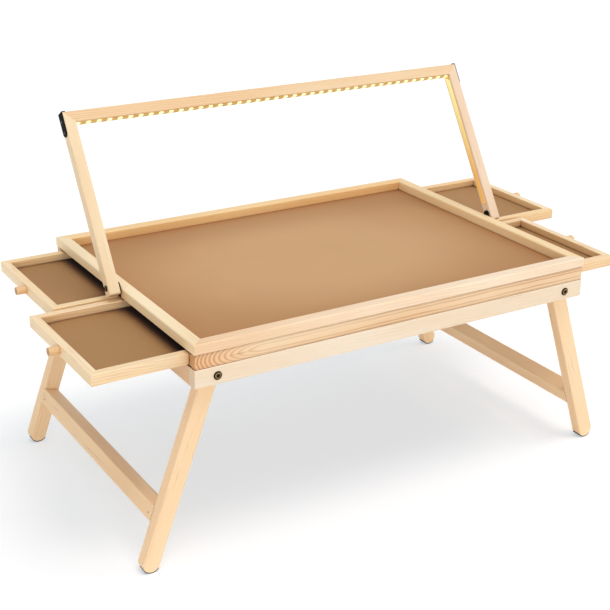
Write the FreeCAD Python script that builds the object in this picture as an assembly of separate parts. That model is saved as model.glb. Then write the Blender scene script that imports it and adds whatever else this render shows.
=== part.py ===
"""Folding jigsaw puzzle table with four drawers and a hinged light frame.

Sizes are in millimetres. The origin is on the floor under the middle of the table: +X runs
to the right along the table, +Y to the rear and +Z up. The table stands on its splayed legs
with the drawers pulled out by different amounts and the light frame leaning back.
"""

import FreeCAD, Part

import math
import os

Vector = FreeCAD.Vector
X_AXIS = Vector(1, 0, 0)
Y_AXIS = Vector(0, 1, 0)
Z_AXIS = Vector(0, 0, 1)

# Overall size of the tray
TABLE_LENGTH = 870.0
TABLE_WIDTH = 620.0

# Tray frame: four mitred rails on top of the carcass
TRAY_RAIL_FACE = 24.0
TRAY_RAIL_HEIGHT = 18.5
TRAY_EDGE_RADIUS = 3.0

# Play board under the tray frame, let into the spacer rails
BOARD_THICKNESS = 3.5
BOARD_END_INSET = 6.0
BOARD_SEAT = 9.8
SEAT_PLAY = 0.2

# Spacer rails, which make the height of the drawer bays at the front and rear
SPACER_THICKNESS = 22.0
SPACER_HEIGHT = 28.5
SPACER_INSET = 1.5
SPACER_EDGE_BEVEL = 0.8

# Floor panel that the drawers slide on
FLOOR_THICKNESS = 3.0
FLOOR_END_INSET = 3.0

# Lower frame that holds the folding legs
BASE_RAIL_THICKNESS = 20.0
BASE_EDGE_BEVEL = 1.2

# Rails between the drawers
CROSS_RAIL_THICKNESS = 16.0
DIVIDER_THICKNESS = 8.0

# Drawers
DRAWER_RAIL_THICKNESS = 15.5
DRAWER_RAIL_HEIGHT = 21.0
DRAWER_SIDE_PLAY = 0.75
DRAWER_SLIDE_GAP = 0.3
DRAWER_END_INSET = 1.0
DRAWER_EDGE_BEVEL = 1.0
DRAWER_BASE_THICKNESS = 3.0
DRAWER_BASE_LIFT = 4.0
DRAWER_GROOVE_DEPTH = 5.0
KNOB_DIAMETER = 16.0
KNOB_PROJECTION = 20.0
KNOB_TENON = 8.0
DRAWER_PULL = {
    "left_rear": 129.0,
    "left_front": 177.0,
    "right_rear": 204.0,
    "right_front": 105.0,
}

# Folding legs
LEG_WIDTH = 33.0
LEG_THICKNESS = 24.0
LEG_EDGE_BEVEL = 1.2
LEG_SPLAY = 19.4
LEG_STOP_GAP = 0.3
LEG_FOLD_RECESS = 0.5
LEG_FOLD_HEADROOM = 1.0
LEG_TIP_GAP = 0.5
BRACE_HEIGHT = 31.0
BRACE_FOOT_DISTANCE = 89.0
PAD_THICKNESS = 1.5
PAD_HALF_ANGLE = 50.0
PAD_SIDE_INSET = 1.0

# Leg pivots: a bolt through the lower frame and the leg, with a hexagon nut on the inside
LEG_BOLT_DIAMETER = 8.0
LEG_BOLT_HEAD_DIAMETER = 16.0
LEG_BOLT_HEAD_HEIGHT = 2.4
LEG_NUT_WIDTH = 13.0
LEG_NUT_HEIGHT = 6.0
LEG_BOLT_TIP = 1.0
HEX_SOCKET_WIDTH = 5.0
HEX_SOCKET_DEPTH = 1.6
HEAD_CHAMFER = 0.6

# Running clearances of every pivot
PIVOT_RADIAL_GAP = 0.1
PIVOT_SIDE_GAP = 0.2

# Light frame
LIGHT_FACE = 22.0
LIGHT_DEPTH = 22.0
LIGHT_EDGE_BEVEL = 1.2
LIGHT_LEAN = 32.4
LIGHT_PIVOT_Y = -5.0
LIGHT_PIVOT_ABOVE_TRAY = 1.0
LIGHT_ARM_TAIL = 16.0
LIGHT_ARM_END_RADIUS = 3.5
LIGHT_FOLD_CLEARANCE = 2.5
LED_STRIP_WIDTH = 10.0
LED_STRIP_THICKNESS = 2.0
LED_STRIP_START = 24.0

# Hinge plates on the ends of the tray, with the light frame's pivot bolts
PLATE_WIDTH = 16.0
PLATE_THICKNESS = 2.0
PLATE_FOOT_INSET = 0.5
LIGHT_BOLT_DIAMETER = 6.0
LIGHT_BOLT_HEAD_DIAMETER = 12.0
LIGHT_BOLT_HEAD_HEIGHT = 3.0
LIGHT_WASHER_DIAMETER = 14.0
LIGHT_WASHER_THICKNESS = 1.5

# Bent steel straps over the corners of the light frame
STRAP_WIDTH = 18.5
STRAP_THICKNESS = 2.0
STRAP_LENGTH = 46.0
STRAP_LAP = 6.0
STRAP_BEND_RADIUS = 1.8
STRAP_END_RADIUS = 8.5
STRAP_SCREW_DISTANCES = (17.0, 38.0)
STRAP_SCREW_DIAMETER = 2.6
STRAP_SCREW_LENGTH = 12.0
STRAP_SCREW_HEAD_DIAMETER = 6.0
STRAP_SCREW_TOP_DIAMETER = 3.0
STRAP_SCREW_HEAD_HEIGHT = 1.6

# Places that follow from the sizes: the legs set every height
HALF_LENGTH = TABLE_LENGTH / 2
HALF_WIDTH = TABLE_WIDTH / 2
SPLAY = math.radians(LEG_SPLAY)
LEG_RADIUS = LEG_WIDTH / 2
BASE_HEIGHT = LEG_WIDTH + LEG_FOLD_RECESS + LEG_FOLD_HEADROOM
PIVOT_ABOVE_BASE = LEG_RADIUS + LEG_FOLD_RECESS
BASE_INNER_X = HALF_LENGTH - BASE_RAIL_THICKNESS
BASE_INNER_Y = HALF_WIDTH - BASE_RAIL_THICKNESS
LEG_PIVOT_INSET = (LEG_RADIUS + LEG_STOP_GAP + PIVOT_ABOVE_BASE * math.sin(SPLAY)) / math.cos(SPLAY)
LEG_PIVOT_X = BASE_INNER_X - LEG_PIVOT_INSET
LEG_SPAN = LEG_PIVOT_X - LEG_TIP_GAP - PAD_THICKNESS - LEG_RADIUS
LEG_PIVOT_Z = LEG_SPAN * math.cos(SPLAY) + LEG_RADIUS + PAD_THICKNESS
LEG_OUTER_Y = BASE_INNER_Y - PIVOT_SIDE_GAP
LEG_INNER_Y = LEG_OUTER_Y - LEG_THICKNESS

BASE_BOTTOM_Z = LEG_PIVOT_Z - PIVOT_ABOVE_BASE
BASE_TOP_Z = BASE_BOTTOM_Z + BASE_HEIGHT
FLOOR_TOP_Z = BASE_TOP_Z + FLOOR_THICKNESS
SPACER_TOP_Z = BASE_TOP_Z + SPACER_HEIGHT
BOARD_BOTTOM_Z = SPACER_TOP_Z - BOARD_THICKNESS
TRAY_TOP_Z = SPACER_TOP_Z + TRAY_RAIL_HEIGHT

SPACER_OUTER_Y = HALF_WIDTH - SPACER_INSET
SPACER_INNER_Y = SPACER_OUTER_Y - SPACER_THICKNESS
PANEL_HALF_Y = SPACER_INNER_Y + BOARD_SEAT
SEAT_DEPTH = BOARD_SEAT + SEAT_PLAY

DRAWER_BOTTOM_Z = FLOOR_TOP_Z + DRAWER_SLIDE_GAP
DRAWER_TOP_Z = DRAWER_BOTTOM_Z + DRAWER_RAIL_HEIGHT
DRAWER_INNER_X = CROSS_RAIL_THICKNESS / 2 + DRAWER_SLIDE_GAP
DRAWER_OUTER_X = HALF_LENGTH - DRAWER_END_INSET
DRAWER_NEAR_Y = DIVIDER_THICKNESS / 2 + DRAWER_SIDE_PLAY
DRAWER_FAR_Y = SPACER_INNER_Y - DRAWER_SIDE_PLAY

LIGHT_PIVOT_Z = TRAY_TOP_Z + LIGHT_PIVOT_ABOVE_TRAY
LIGHT_INNER_X = HALF_LENGTH + PLATE_THICKNESS + LIGHT_WASHER_THICKNESS + PIVOT_SIDE_GAP
LIGHT_OUTER_X = LIGHT_INNER_X + LIGHT_FACE
LIGHT_BAR_INNER = HALF_WIDTH + abs(LIGHT_PIVOT_Y) + LED_STRIP_THICKNESS + LIGHT_FOLD_CLEARANCE
LIGHT_BAR_OUTER = LIGHT_BAR_INNER + LIGHT_FACE

SIDES = {"left": -1, "right": 1}
ENDS = {"front": -1, "rear": 1}


def block(x_faces, y_faces, z_faces):
    """Rectangular block between two faces along each axis, given in either order."""
    low = Vector(min(x_faces), min(y_faces), min(z_faces))
    size = Vector(max(x_faces), max(y_faces), max(z_faces)) - low
    return Part.makeBox(size.x, size.y, size.z, low)


def rod(start, along, diameter):
    """Round rod from start, as long and in the direction of the vector along."""
    return Part.makeCylinder(diameter / 2, along.Length, start, along)


def lies_along(edge, axis):
    """Whether a straight edge runs parallel to an axis."""
    span = edge.Vertexes[-1].Point - edge.Vertexes[0].Point
    return span.Length > 0 and abs(span.dot(axis)) > 0.999 * span.Length


def ease(shape, radius, chosen):
    """Round the edges for which chosen(edge) holds."""
    return shape.makeFillet(radius, [edge for edge in shape.Edges if chosen(edge)])


def bevel(shape, size, chosen):
    """Take a small flat off the edges for which chosen(edge) holds."""
    return shape.makeChamfer(size, [edge for edge in shape.Edges if chosen(edge)])


def mirrored(side, shape):
    """The shape as built for the right-hand side, or its mirror image for the left."""
    return shape if side > 0 else shape.mirror(Vector(), X_AXIS)


def mitred_rails(x_faces, y_faces, z_faces, thickness, soften, size):
    """Four rails round a rectangle, mitred at the corners.

    soften is ease or bevel, and works on the two long upper edges of each rail by size. The
    rails are keyed by the side they lie on: front, right, rear and left.
    """
    x_low, x_high = sorted(x_faces)
    y_low, y_high = sorted(y_faces)
    z_low, z_high = sorted(z_faces)

    def corners(inset):
        left, right = x_low + inset, x_high - inset
        near, far = y_low + inset, y_high - inset
        places = ((left, near), (right, near), (right, far), (left, far))
        return [Vector(x, y, z_low) for x, y in places]

    outer, inner = corners(0.0), corners(thickness)
    rails = {}
    for index, side in enumerate(("front", "right", "rear", "left")):
        after = (index + 1) % 4
        outline = [outer[index], outer[after], inner[after], inner[index], outer[index]]
        rail = Part.Face(Part.makePolygon(outline)).extrude(Z_AXIS * (z_high - z_low))
        length_axis = X_AXIS if side in ENDS else Y_AXIS
        rails[side] = soften(
            rail,
            size,
            lambda edge: lies_along(edge, length_axis) and edge.BoundBox.ZMin > z_high - size,
        )
    return rails


def hexagon(width, z_faces):
    """Hexagonal prism about the Z axis, measured across its flats."""
    reach = width / math.sqrt(3)
    angles = [math.radians(60 * turn) for turn in range(7)]
    points = [Vector(reach * math.cos(a), reach * math.sin(a), min(z_faces)) for a in angles]
    height = max(z_faces) - min(z_faces)
    return Part.Face(Part.makePolygon(points)).extrude(Z_AXIS * height)


def bolt_head(diameter, height):
    """Flat round head with a chamfered rim and a hexagon socket; it rises from z = 0."""
    head = Part.makeCylinder(diameter / 2, height)
    head = bevel(head, HEAD_CHAMFER, lambda edge: edge.BoundBox.ZMin > height / 2)
    return head.cut(hexagon(HEX_SOCKET_WIDTH, (height - HEX_SOCKET_DEPTH, height)))


def aimed(shape, place, direction):
    """Turn a shape built along +Z to point along direction, and move it to place."""
    moved = shape.copy()
    moved.Placement = FreeCAD.Placement(place, FreeCAD.Rotation(Z_AXIS, direction))
    return moved


def tray_frame():
    """The four mitred rails round the play surface."""
    rails = mitred_rails(
        (-HALF_LENGTH, HALF_LENGTH),
        (-HALF_WIDTH, HALF_WIDTH),
        (SPACER_TOP_Z, TRAY_TOP_Z),
        TRAY_RAIL_FACE,
        ease,
        TRAY_EDGE_RADIUS,
    )
    return {f"tray_{side}_rail": rail for side, rail in rails.items()}


def panels():
    """Play board and drawer floor, both let into the spacer rails."""
    board_end = HALF_LENGTH - BOARD_END_INSET
    floor_end = HALF_LENGTH - FLOOR_END_INSET
    y_faces = (-PANEL_HALF_Y, PANEL_HALF_Y)
    return {
        "play_board": block((-board_end, board_end), y_faces, (BOARD_BOTTOM_Z, SPACER_TOP_Z)),
        "floor_panel": block((-floor_end, floor_end), y_faces, (BASE_TOP_Z, FLOOR_TOP_Z)),
    }


def spacer_rails():
    """Front and rear rails between tray and lower frame, rebated for both panels."""
    end = HALF_LENGTH - SPACER_INSET
    rails = {}
    for name, way in ENDS.items():
        y_faces = (way * SPACER_INNER_Y, way * SPACER_OUTER_Y)
        rail = bevel(
            block((-end, end), y_faces, (BASE_TOP_Z, SPACER_TOP_Z)),
            SPACER_EDGE_BEVEL,
            lambda edge: lies_along(edge, X_AXIS)
            and way * edge.CenterOfMass.y > SPACER_OUTER_Y - SPACER_EDGE_BEVEL,
        )
        rebate_y = (way * SPACER_INNER_Y, way * (SPACER_INNER_Y + SEAT_DEPTH))
        rail = rail.cut(block((-end, end), rebate_y, (BOARD_BOTTOM_Z, SPACER_TOP_Z)))
        rail = rail.cut(block((-end, end), rebate_y, (BASE_TOP_Z, FLOOR_TOP_Z)))
        rails[f"{name}_spacer_rail"] = rail
    return rails


def bay_rails():
    """Cross rail that stops the drawers, and the dividers between front and rear drawers."""
    z_faces = (FLOOR_TOP_Z, BOARD_BOTTOM_Z)
    half_cross = CROSS_RAIL_THICKNESS / 2
    half_divider = DIVIDER_THICKNESS / 2
    rails = {
        "cross_rail": block(
            (-half_cross, half_cross), (-SPACER_INNER_Y, SPACER_INNER_Y), z_faces
        )
    }
    for name, side in SIDES.items():
        x_faces = (side * half_cross, side * (HALF_LENGTH - SPACER_INSET))
        rails[f"{name}_divider"] = block(x_faces, (-half_divider, half_divider), z_faces)
    return rails


def base_frame():
    """Lower frame: two long rails with the end rails butted between them."""
    z_faces = (BASE_BOTTOM_Z, BASE_TOP_Z)
    rails = {}
    for name, way in ENDS.items():
        rail = block((-HALF_LENGTH, HALF_LENGTH), (way * BASE_INNER_Y, way * HALF_WIDTH), z_faces)
        rail = bevel(
            rail,
            BASE_EDGE_BEVEL,
            lambda edge: not lies_along(edge, Y_AXIS)
            and way * edge.CenterOfMass.y > HALF_WIDTH - BASE_EDGE_BEVEL,
        )
        for side in SIDES.values():
            start = Vector(side * LEG_PIVOT_X, way * BASE_INNER_Y, LEG_PIVOT_Z)
            rail = rail.cut(rod(start, Y_AXIS * way * BASE_RAIL_THICKNESS, LEG_BOLT_DIAMETER))
        rails[f"base_{name}_rail"] = rail
    for name, side in SIDES.items():
        rails[f"base_{name}_rail"] = block(
            (side * BASE_INNER_X, side * HALF_LENGTH), (-BASE_INNER_Y, BASE_INNER_Y), z_faces
        )
    return rails


def leg_pivots():
    """Bolts and nuts that the four legs turn on."""
    bolts, nuts = [], []
    nut_face = LEG_INNER_Y - PIVOT_SIDE_GAP
    shank_end = nut_face - LEG_NUT_HEIGHT - LEG_BOLT_TIP
    for side in SIDES.values():
        for way in ENDS.values():
            outward = Y_AXIS * way

            def on_pivot(distance):
                return Vector(side * LEG_PIVOT_X, way * distance, LEG_PIVOT_Z)

            head = bolt_head(LEG_BOLT_HEAD_DIAMETER, LEG_BOLT_HEAD_HEIGHT)
            shank = rod(on_pivot(shank_end), outward * (HALF_WIDTH - shank_end), LEG_BOLT_DIAMETER)
            bolts.append(aimed(head, on_pivot(HALF_WIDTH), outward).fuse(shank).removeSplitter())

            nut = hexagon(LEG_NUT_WIDTH, (0, LEG_NUT_HEIGHT))
            nuts.append(aimed(nut, on_pivot(nut_face), -outward).cut(shank))
    return {
        "leg_pivot_bolts": Part.makeCompound(bolts),
        "leg_pivot_nuts": Part.makeCompound(nuts),
    }


def drawer(place):
    """One drawer: four mitred rails, a base panel in their grooves and a dowel knob."""
    side_name, end_name = place.split("_")
    side, way = SIDES[side_name], ENDS[end_name]
    shift = DRAWER_PULL[place]
    x_faces = (side * (DRAWER_INNER_X + shift), side * (DRAWER_OUTER_X + shift))
    y_faces = (way * DRAWER_NEAR_Y, way * DRAWER_FAR_Y)
    rails = mitred_rails(
        x_faces,
        y_faces,
        (DRAWER_BOTTOM_Z, DRAWER_TOP_Z),
        DRAWER_RAIL_THICKNESS,
        bevel,
        DRAWER_EDGE_BEVEL,
    )

    def panel(reach):
        """Plate that enters the rails by reach on all four sides."""
        inset = DRAWER_RAIL_THICKNESS - reach
        low_x, high_x = sorted(x_faces)
        low_y, high_y = sorted(y_faces)
        low_z = DRAWER_BOTTOM_Z + DRAWER_BASE_LIFT
        return block(
            (low_x + inset, high_x - inset),
            (low_y + inset, high_y - inset),
            (low_z, low_z + DRAWER_BASE_THICKNESS),
        )

    groove = panel(DRAWER_GROOVE_DEPTH)
    knob_start = Vector(
        x_faces[1] - side * KNOB_TENON,
        sum(y_faces) / 2,
        (DRAWER_BOTTOM_Z + DRAWER_TOP_Z) / 2,
    )
    knob = rod(knob_start, X_AXIS * side * (KNOB_TENON + KNOB_PROJECTION), KNOB_DIAMETER)
    rails = {name: rail.cut(groove) for name, rail in rails.items()}
    rails[side_name] = rails[side_name].cut(knob)
    back_name = "left" if side > 0 else "right"
    return {
        f"{place}_drawer_face": rails[side_name],
        f"{place}_drawer_back": rails[back_name],
        f"{place}_drawer_front_side": rails["front"],
        f"{place}_drawer_rear_side": rails["rear"],
        f"{place}_drawer_base": panel(DRAWER_GROOVE_DEPTH - SEAT_PLAY),
        f"{place}_drawer_knob": knob,
    }


def leg_outline(y_faces):
    """Upright leg with full-round ends, its upper arc centred on the Y axis at z = 0."""
    top = Part.makeCylinder(LEG_RADIUS, LEG_THICKNESS, Vector(0, min(y_faces), 0), Y_AXIS)
    foot = top.copy()
    foot.translate(Z_AXIS * -LEG_SPAN)
    shaft = block((-LEG_RADIUS, LEG_RADIUS), y_faces, (-LEG_SPAN, 0))
    leg = shaft.fuse([top, foot]).removeSplitter()
    return bevel(leg, LEG_EDGE_BEVEL, lambda edge: not lies_along(edge, Y_AXIS))


def foot_pad(y_faces):
    """Felt strip glued round the underside of a leg's foot, level with the floor."""

    def on_arc(radius, degrees):
        angle = math.radians(degrees)
        return Vector(radius * math.sin(angle), min(y_faces), -radius * math.cos(angle))

    def arc(radius):
        ends = (on_arc(radius, -PAD_HALF_ANGLE), on_arc(radius, 0), on_arc(radius, PAD_HALF_ANGLE))
        return Part.Arc(*ends).toShape()

    inner, outer = LEG_RADIUS, LEG_RADIUS + PAD_THICKNESS
    closers = [
        Part.LineSegment(on_arc(inner, turn), on_arc(outer, turn)).toShape()
        for turn in (-PAD_HALF_ANGLE, PAD_HALF_ANGLE)
    ]
    wire = Part.Wire(Part.__sortEdges__([arc(inner), arc(outer), *closers]))
    return Part.Face(wire).extrude(Y_AXIS * (max(y_faces) - min(y_faces)))


def leg_frame(name):
    """Two legs joined by a brace, standing on their pads at the splay angle."""
    side = SIDES[name]
    pivot = Vector(LEG_PIVOT_X, 0, LEG_PIVOT_Z)
    foot = pivot + Vector(math.sin(SPLAY), 0, -math.cos(SPLAY)) * LEG_SPAN
    pieces, pads = {}, []
    for end_name, way in ENDS.items():
        y_faces = (way * LEG_INNER_Y, way * LEG_OUTER_Y)
        bore = rod(
            Vector(0, way * LEG_INNER_Y, 0),
            Y_AXIS * way * LEG_THICKNESS,
            LEG_BOLT_DIAMETER + 2 * PIVOT_RADIAL_GAP,
        )
        pieces[f"{name}_{end_name}_leg"] = leg_outline(y_faces).cut(bore)
        pad = foot_pad(
            (way * (LEG_INNER_Y + PAD_SIDE_INSET), way * (LEG_OUTER_Y - PAD_SIDE_INSET))
        )
        pad.translate(foot)
        pads.append(pad)
    brace_z = -(LEG_SPAN + LEG_RADIUS - BRACE_FOOT_DISTANCE)
    brace = block(
        (-LEG_RADIUS, LEG_RADIUS),
        (-LEG_INNER_Y, LEG_INNER_Y),
        (brace_z, brace_z + BRACE_HEIGHT),
    )
    pieces[f"{name}_leg_brace"] = bevel(
        brace, LEG_EDGE_BEVEL, lambda edge: lies_along(edge, Y_AXIS)
    )
    for piece in pieces.values():
        piece.rotate(Vector(), Y_AXIS, -LEG_SPLAY)
        piece.translate(pivot)
    pieces[f"{name}_foot_pads"] = Part.makeCompound(pads)
    return {node: mirrored(side, piece) for node, piece in pieces.items()}


def leaned(shape):
    """Move a piece built upright on the light frame's pivot axis to its place on the table."""
    placed = shape.copy()
    placed.rotate(Vector(), X_AXIS, -LIGHT_LEAN)
    placed.translate(Vector(0, LIGHT_PIVOT_Y, LIGHT_PIVOT_Z))
    return placed


def light_stock(points):
    """Light-frame piece cut from one board: an outline in the XZ plane, LIGHT_DEPTH thick."""
    outline = [Vector(x, -LIGHT_DEPTH / 2, z) for x, z in points]
    return Part.Face(Part.makePolygon(outline + outline[:1])).extrude(Y_AXIS * LIGHT_DEPTH)


def light_frame():
    """Two arms and a top bar with mitred corners, lit by a strip round the inner faces."""
    arm = light_stock(
        (
            (LIGHT_INNER_X, -LIGHT_ARM_TAIL),
            (LIGHT_OUTER_X, -LIGHT_ARM_TAIL),
            (LIGHT_OUTER_X, LIGHT_BAR_OUTER),
            (LIGHT_INNER_X, LIGHT_BAR_INNER),
        )
    )
    arm = ease(
        arm,
        LIGHT_ARM_END_RADIUS,
        lambda edge: lies_along(edge, X_AXIS) and edge.CenterOfMass.z < 0,
    )
    arm = bevel(arm, LIGHT_EDGE_BEVEL, lambda edge: lies_along(edge, Z_AXIS))
    bore = rod(
        Vector(LIGHT_INNER_X, 0, 0),
        X_AXIS * LIGHT_FACE,
        LIGHT_BOLT_DIAMETER + 2 * PIVOT_RADIAL_GAP,
    )
    arm = arm.cut(bore)
    bar = light_stock(
        (
            (-LIGHT_INNER_X, LIGHT_BAR_INNER),
            (LIGHT_INNER_X, LIGHT_BAR_INNER),
            (LIGHT_OUTER_X, LIGHT_BAR_OUTER),
            (-LIGHT_OUTER_X, LIGHT_BAR_OUTER),
        )
    )
    bar = bevel(bar, LIGHT_EDGE_BEVEL, lambda edge: lies_along(edge, X_AXIS))

    strip_y = (-LED_STRIP_WIDTH / 2, LED_STRIP_WIDTH / 2)
    strip_x = LIGHT_INNER_X - LED_STRIP_THICKNESS
    strip_z = LIGHT_BAR_INNER - LED_STRIP_THICKNESS
    strips = [block((-LIGHT_INNER_X, LIGHT_INNER_X), strip_y, (strip_z, LIGHT_BAR_INNER))]
    for side in SIDES.values():
        x_faces = (side * strip_x, side * LIGHT_INNER_X)
        strips.append(block(x_faces, strip_y, (LED_STRIP_START, strip_z)))

    nodes = {f"light_{name}_arm": leaned(mirrored(side, arm)) for name, side in SIDES.items()}
    nodes["light_top_bar"] = leaned(bar)
    nodes["light_strips"] = leaned(Part.makeCompound(strips))
    return nodes


def corner_straps():
    """Steel straps down the outer faces of the arms, bent over the ends of the top bar."""
    outer_x = LIGHT_OUTER_X + STRAP_THICKNESS
    top_z = LIGHT_BAR_OUTER + STRAP_THICKNESS
    y_faces = (-STRAP_WIDTH / 2, STRAP_WIDTH / 2)
    foot_z = LIGHT_BAR_OUTER - STRAP_LENGTH
    upright = block((LIGHT_OUTER_X, outer_x), y_faces, (foot_z, top_z))
    lap = block((LIGHT_OUTER_X - STRAP_LAP, outer_x), y_faces, (LIGHT_BAR_OUTER, top_z))
    strap = upright.fuse(lap).removeSplitter()
    strap = ease(
        strap,
        STRAP_BEND_RADIUS,
        lambda edge: lies_along(edge, Y_AXIS)
        and edge.CenterOfMass.x > LIGHT_OUTER_X
        and edge.CenterOfMass.z > LIGHT_BAR_OUTER,
    )
    strap = ease(
        strap,
        STRAP_END_RADIUS,
        lambda edge: lies_along(edge, X_AXIS) and edge.CenterOfMass.z < LIGHT_BAR_OUTER - STRAP_LAP,
    )
    screws = []
    for distance in STRAP_SCREW_DISTANCES:
        screw_z = LIGHT_BAR_OUTER - distance
        shank = rod(
            Vector(outer_x, 0, screw_z), X_AXIS * -STRAP_SCREW_LENGTH, STRAP_SCREW_DIAMETER
        )
        head = Part.makeCone(
            STRAP_SCREW_HEAD_DIAMETER / 2,
            STRAP_SCREW_TOP_DIAMETER / 2,
            STRAP_SCREW_HEAD_HEIGHT,
            Vector(outer_x, 0, screw_z),
            X_AXIS,
        )
        screws.append(head.fuse(shank))
        strap = strap.cut(shank)
    return strap, screws


def fitted_straps(frame):
    """Corner straps and their screws for both sides, with pilot holes cut in the wood."""
    strap, screws = corner_straps()
    straps, all_screws = [], []
    for side in SIDES.values():
        straps.append(leaned(mirrored(side, strap)))
        all_screws += [leaned(mirrored(side, screw)) for screw in screws]
    for node in ("light_left_arm", "light_right_arm", "light_top_bar"):
        frame[node] = frame[node].cut(all_screws)
    frame["corner_straps"] = Part.makeCompound(straps)
    frame["corner_strap_screws"] = Part.makeCompound(all_screws)
    return frame


def hinge_plate():
    """Steel plate on the right-hand end of the tray, its round ear above the tray rail."""
    foot_z = SPACER_TOP_Z + PLATE_FOOT_INSET
    half = PLATE_WIDTH / 2
    y_faces = (LIGHT_PIVOT_Y - half, LIGHT_PIVOT_Y + half)
    start = Vector(HALF_LENGTH, LIGHT_PIVOT_Y, LIGHT_PIVOT_Z)
    ear = rod(start, X_AXIS * PLATE_THICKNESS, PLATE_WIDTH)
    flat = block((HALF_LENGTH, HALF_LENGTH + PLATE_THICKNESS), y_faces, (foot_z, LIGHT_PIVOT_Z))
    return flat.fuse(ear).removeSplitter()


def light_hinges():
    """Hinge plates, and the bolts and washers that carry the light frame."""
    plate_face = HALF_LENGTH + PLATE_THICKNESS
    head_face = LIGHT_OUTER_X + PIVOT_SIDE_GAP

    def on_pivot(x):
        return Vector(x, LIGHT_PIVOT_Y, LIGHT_PIVOT_Z)

    shank = rod(on_pivot(HALF_LENGTH), X_AXIS * (head_face - HALF_LENGTH), LIGHT_BOLT_DIAMETER)
    head = bolt_head(LIGHT_BOLT_HEAD_DIAMETER, LIGHT_BOLT_HEAD_HEIGHT)
    washer = rod(on_pivot(plate_face), X_AXIS * LIGHT_WASHER_THICKNESS, LIGHT_WASHER_DIAMETER)
    right = {
        "hinge_plates": hinge_plate().cut(shank),
        "light_pivot_bolts": aimed(head, on_pivot(head_face), X_AXIS).fuse(shank).removeSplitter(),
        "light_pivot_washers": washer.cut(shank),
    }
    return {
        node: Part.makeCompound([mirrored(side, piece) for side in SIDES.values()])
        for node, piece in right.items()
    }


def table():
    """Every node of the table, keyed by its name."""
    nodes = {}
    nodes.update(tray_frame())
    nodes.update(light_hinges())
    nodes.update(panels())
    nodes.update(spacer_rails())
    nodes.update(bay_rails())
    nodes.update(base_frame())
    nodes.update(leg_pivots())
    for place in DRAWER_PULL:
        nodes.update(drawer(place))
    for name in SIDES:
        nodes.update(leg_frame(name))
    nodes.update(fitted_straps(light_frame()))
    return nodes


def main():
    """Write one STEP file for each node."""
    os.makedirs("parts", exist_ok=True)
    for node, shape in table().items():
        shape.exportStep(os.path.join("parts", f"{node}.step"))


main()
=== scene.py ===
"""Finish, small hardware and studio for a folding jigsaw puzzle table.

The table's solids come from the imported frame. This script gives each of them its finish and
adds what is too fine for the solids: turned knobs, pivot bolts with their rings, nails, hinge
screws and the lamp strip's single lights. Everything is in metres, in the frame of the solids.
"""

import logging
import math
from dataclasses import dataclass, field, replace
from enum import Enum
from typing import Any, Iterable, NamedTuple, Sequence

import bmesh
import bpy
from bmesh.types import BMesh, BMVert
from bpy.types import Material, Node, NodeSocket, NodeTree, Object
from mathutils import Euler, Matrix, Vector


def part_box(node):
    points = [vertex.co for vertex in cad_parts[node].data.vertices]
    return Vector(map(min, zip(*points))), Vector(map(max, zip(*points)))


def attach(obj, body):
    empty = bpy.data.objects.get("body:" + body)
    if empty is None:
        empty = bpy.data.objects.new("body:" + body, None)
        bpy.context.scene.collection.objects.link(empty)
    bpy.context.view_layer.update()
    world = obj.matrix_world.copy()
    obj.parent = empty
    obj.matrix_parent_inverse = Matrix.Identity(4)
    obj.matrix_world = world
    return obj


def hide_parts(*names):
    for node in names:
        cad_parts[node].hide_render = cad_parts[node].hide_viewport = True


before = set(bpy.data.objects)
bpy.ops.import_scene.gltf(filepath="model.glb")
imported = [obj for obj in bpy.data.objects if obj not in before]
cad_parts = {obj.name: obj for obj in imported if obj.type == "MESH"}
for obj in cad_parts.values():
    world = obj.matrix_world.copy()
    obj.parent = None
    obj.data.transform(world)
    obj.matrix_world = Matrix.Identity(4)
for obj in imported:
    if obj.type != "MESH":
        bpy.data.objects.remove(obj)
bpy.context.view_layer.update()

LOG = logging.getLogger("puzzle_table")
MM = 0.001
X_AXIS = Vector((1.0, 0.0, 0.0))
Y_AXIS = Vector((0.0, 1.0, 0.0))
SHARP_ANGLE = math.radians(35.0)
SIDES = (-1.0, 1.0)
SENSOR_MM = 36.0
WHITE = "#FFFFFF"
Pair = tuple[float, float]
Triple = tuple[float, float, float]
Colour = tuple[float, float, float, float]
Stops = Sequence[tuple[float, float | str]]


def linear(hex_colour: str) -> Colour:
    """Turn an sRGB hex colour into Blender's linear values.

    Args:
        hex_colour: A hash and six hex digits.

    Returns:
        Linear red, green and blue, and an alpha of 1.
    """
    channels = [int(hex_colour[i : i + 2], 16) / 255 for i in (1, 3, 5)]
    values = [c / 12.92 if c <= 0.04045 else ((c + 0.055) / 1.055) ** 2.4 for c in channels]
    return (values[0], values[1], values[2], 1.0)


def set_stops(ramp: bpy.types.ColorRamp, stops: Stops) -> None:
    """Give a colour ramp its stops.

    Args:
        ramp: The ramp, as it is in a new node.
        stops: Position and colour of each stop; a colour is a hex text or a grey value.
    """
    while len(ramp.elements) < len(stops):
        ramp.elements.new(1.0)
    for element, (position, colour) in zip(ramp.elements, stops):
        element.position = position
        element.color = linear(colour) if isinstance(colour, str) else (colour,) * 3 + (1.0,)


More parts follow.
